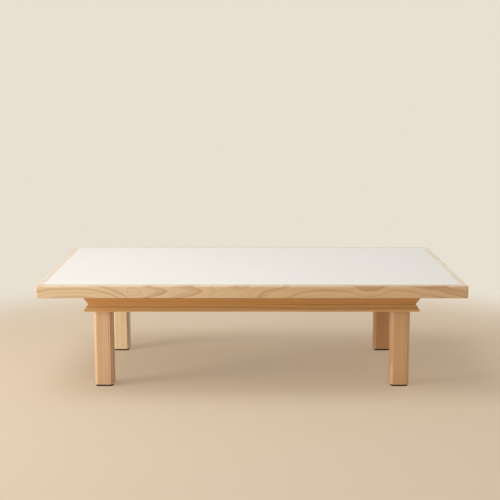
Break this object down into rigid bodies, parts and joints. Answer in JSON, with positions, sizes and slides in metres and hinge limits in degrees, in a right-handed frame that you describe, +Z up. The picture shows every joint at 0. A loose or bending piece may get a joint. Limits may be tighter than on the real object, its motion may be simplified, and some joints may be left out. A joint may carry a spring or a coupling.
{
  "type": "kotatsu table",
  "caption": "Low heated table: white lift-off top with solid wood edging on a grooved wooden underframe with square bolted legs and a fan heater hung beneath.",
  "frame": {"origin": "on the floor, at the middle of the footprint", "axes": "+Z up, +X along the table's length, -Y towards the front"},
  "size_m": [1.5, 0.9, 0.4],
  "materials": {
    "white_laminate": "satin white decorative laminate",
    "board": "raw fibreboard",
    "core_timber": "sawn softwood",
    "honeycomb": "kraft paper cells",
    "edging_timber": "solid pale timber, clear satin lacquer",
    "apron_timber": "solid timber, clear satin lacquer",
    "leg_timber": "solid timber, clear satin lacquer",
    "frame_timber": "planed timber, not lacquered",
    "foot_rubber": "dark hard rubber",
    "pad_rubber": "soft non-slip rubber",
    "zinc_steel": "zinc plated",
    "housing_steel": "galvanised sheet steel",
    "bright_sheet": "polished aluminium",
    "quartz": "clear quartz glass",
    "coil_wire": "heating wire, oxidised",
    "ceramic": "unglazed white ceramic",
    "moulding": "black heat-resistant moulding",
    "motor_case": "dark painted steel",
    "fan_plastic": "dark grey moulding",
    "guard_paint": "black heat-resistant paint",
    "brass": "bare brass",
    "wire_sleeve": "white heat-resistant sleeve"
  },
  "bodies": {
    "underframe": {"apron_front": "apron_timber", "apron_rear": "apron_timber", "apron_left": "apron_timber", "apron_right": "apron_timber", "leg_front_left": "leg_timber", "leg_front_right": "leg_timber", "leg_rear_right": "leg_timber", "leg_rear_left": "leg_timber", "foot_pad_front_left": "foot_rubber", "foot_pad_front_right": "foot_rubber", "foot_pad_rear_right": "foot_rubber", "foot_pad_rear_left": "foot_rubber", "corner_block_front_left": "frame_timber", "corner_block_front_right": "frame_timber", "corner_block_rear_right": "frame_timber", "corner_block_rear_left": "frame_timber", "leg_bolts": "zinc_steel", "leg_washers": "zinc_steel", "leg_nuts": "zinc_steel", "corner_block_screws": "zinc_steel", "heater_rail_left": "frame_timber", "heater_rail_right": "frame_timber", "quilt_rail_left": "frame_timber", "quilt_rail_right": "frame_timber", "lattice_slats": "frame_timber", "rest_pads": "pad_rubber", "heater_housing": "housing_steel", "reflector": "bright_sheet", "quartz_tube_front": "quartz", "quartz_tube_rear": "quartz", "heating_coils": "coil_wire", "tube_end_caps": "ceramic", "tube_brackets": "zinc_steel", "fan_motor": "motor_case", "motor_screws": "zinc_steel", "thermostat": "moulding", "thermal_fuse": "ceramic", "terminal_block": "ceramic", "inlet_socket": "moulding", "inlet_pins": "brass", "guard_rim": "moulding", "guard_grille": "guard_paint", "guard_screws": "zinc_steel", "heater_screws": "zinc_steel", "lead_wires": "wire_sleeve"},
    "tabletop": {"top_laminate": "white_laminate", "upper_skin_board": "board", "lower_skin_board": "board", "core_rail_front": "core_timber", "core_rail_rear": "core_timber", "core_rail_left": "core_timber", "core_rail_right": "core_timber", "core_battens": "core_timber", "honeycomb_panels": "honeycomb", "edging_front": "edging_timber", "edging_rear": "edging_timber", "edging_left": "edging_timber", "edging_right": "edging_timber"},
    "fan": {"fan_impeller": "fan_plastic", "fan_shaft": "zinc_steel"}
  },
  "joints": [
    {"name": "top_lift", "type": "slide", "parent": "underframe", "child": "tabletop", "axis": [0, 0, 1], "range_m": [0, 0.3]},
    {"name": "fan_spin", "type": "hinge", "parent": "underframe", "child": "fan", "pos_m": [0, 0, 0.293], "axis": [0, 0, 1], "continuous": true}
  ]
}
